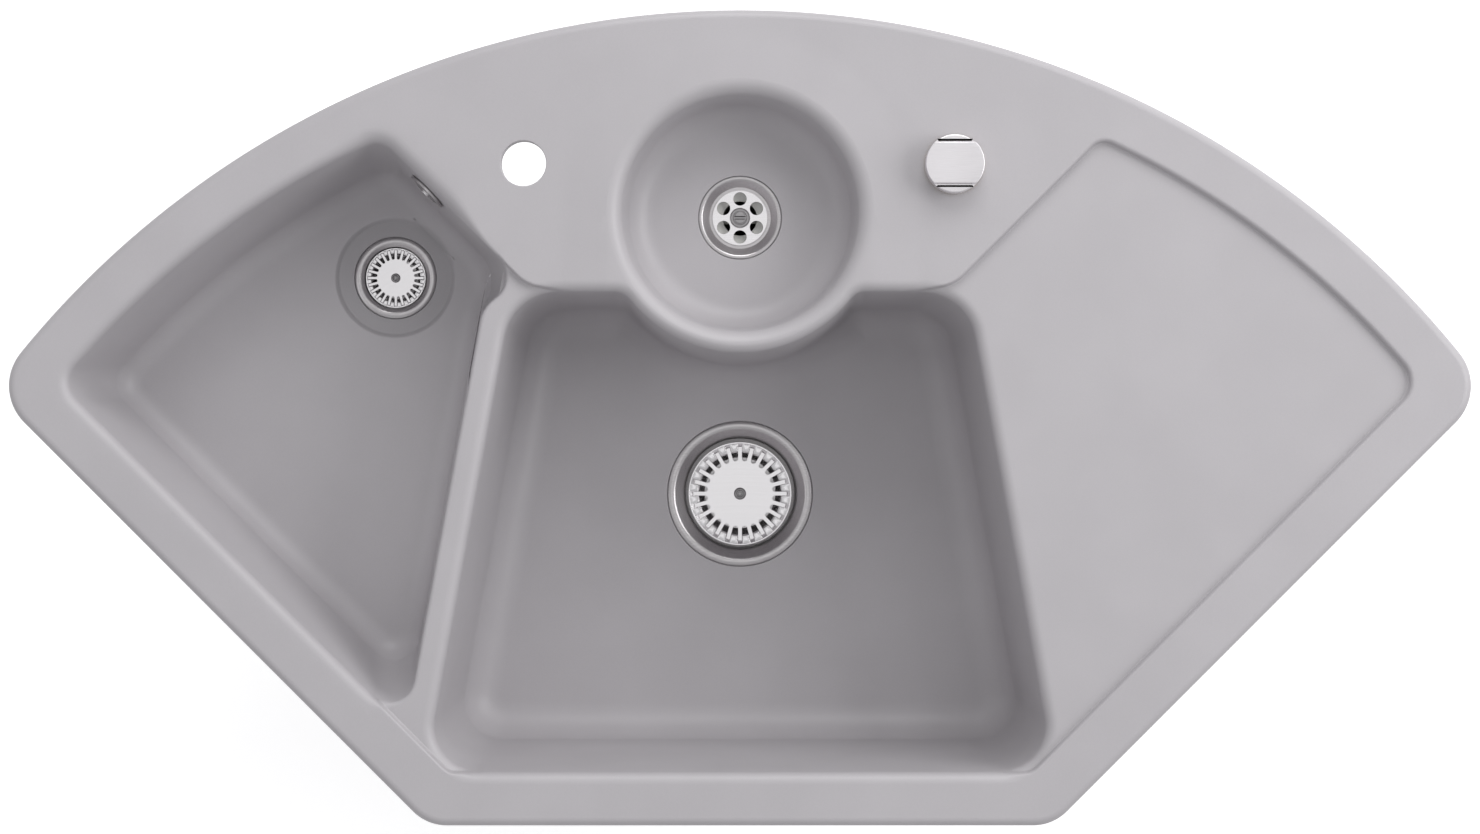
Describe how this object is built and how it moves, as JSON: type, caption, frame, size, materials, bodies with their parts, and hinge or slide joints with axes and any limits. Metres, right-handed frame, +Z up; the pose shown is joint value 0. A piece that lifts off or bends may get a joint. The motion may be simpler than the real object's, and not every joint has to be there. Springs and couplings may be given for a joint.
{
  "type": "corner kitchen sink",
  "caption": "Inset ceramic corner sink with a main basin, side bowl, small round bowl, drainer, lift-out basket strainers and a rotary pop-up waste control.",
  "frame": {"origin": "middle of the front edge's seat on the worktop", "axes": "+X to the right along the front edge, +Y towards the wall corner, +Z up"},
  "size_m": [1.0652, 0.5939, 0.3935],
  "materials": {
    "glazed_fireclay": "satin glaze, purple-grey",
    "brushed_steel": "fine brushed stainless steel",
    "polished_steel": "bright satin stainless steel",
    "steel_rod": "drawn steel",
    "satin_chrome": "satin chrome",
    "brass": "turned brass",
    "black_rubber": "matt",
    "white_plastic": "moulded polypropylene",
    "grey_plastic": "moulded polypropylene"
  },
  "bodies": {
    "sink": {"sink_body": "glazed_fireclay", "bushing_nut": "brass", "bushing_washer": "black_rubber", "cable_case": "grey_plastic", "knob_bushing": "brass", "left_branch_pipe": "white_plastic", "lever_gland_nut": "grey_plastic", "main_body_gasket": "black_rubber", "main_clamp_screws": "polished_steel", "main_flange": "brushed_steel", "main_flange_gasket": "black_rubber", "main_waste_body": "white_plastic", "overflow_housing": "white_plastic", "overflow_pipe": "white_plastic", "overflow_rosette": "brushed_steel", "overflow_screw": "polished_steel", "overflow_seal": "black_rubber", "pipe_slip_nuts": "grey_plastic", "rear_branch_pipe": "white_plastic", "side_body_gasket": "black_rubber", "side_clamp_screws": "polished_steel", "side_flange": "brushed_steel", "side_flange_gasket": "black_rubber", "side_waste_body": "white_plastic", "small_body_gasket": "black_rubber", "small_flange": "brushed_steel", "small_flange_gasket": "black_rubber", "small_strainer_plate": "polished_steel", "small_waste_body": "white_plastic", "small_waste_screw": "polished_steel", "waste_cross": "white_plastic"},
    "knob": {"knob": "satin_chrome", "knob_spindle": "brass", "cable_rotor": "grey_plastic"},
    "lever": {"lift_lever": "steel_rod", "lever_shaft": "steel_rod"},
    "pin": {"lift_pin": "steel_rod"},
    "main_basket": {"main_strainer_basket": "polished_steel", "main_strainer_plate": "polished_steel", "main_basket_rivet": "polished_steel", "main_basket_seal": "black_rubber"},
    "side_basket": {"side_strainer_basket": "polished_steel", "side_strainer_plate": "polished_steel", "side_basket_rivet": "polished_steel", "side_basket_seal": "black_rubber"}
  },
  "joints": [
    {"name": "knob_turn", "type": "hinge", "parent": "sink", "child": "knob", "pos_m": [0.1553, 0.4727, 0.03], "axis": [0, 0, 1], "range_deg": [0, 90]},
    {"name": "lever_swing", "type": "hinge", "parent": "sink", "child": "lever", "pos_m": [0, 0.247, -0.241], "axis": [-1, 0, 0], "range_deg": [0, 30]},
    {"name": "pin_lift", "type": "slide", "parent": "sink", "child": "pin", "axis": [0, 0, 1], "range_m": [0, 0.00932]},
    {"name": "main_basket_lift", "type": "slide", "parent": "pin", "child": "main_basket", "axis": [0, 0, 1], "range_m": [0, 0.15]},
    {"name": "side_basket_lift", "type": "slide", "parent": "sink", "child": "side_basket", "axis": [0, 0, 1], "range_m": [0, 0.12]}
  ],
  "couplings": [
    {"joint": "lever_swing", "follows": "knob_turn", "ratio": 0.33333},
    {"joint": "pin_lift", "follows": "knob_turn", "m_per_rad": 0.0059317}
  ]
}
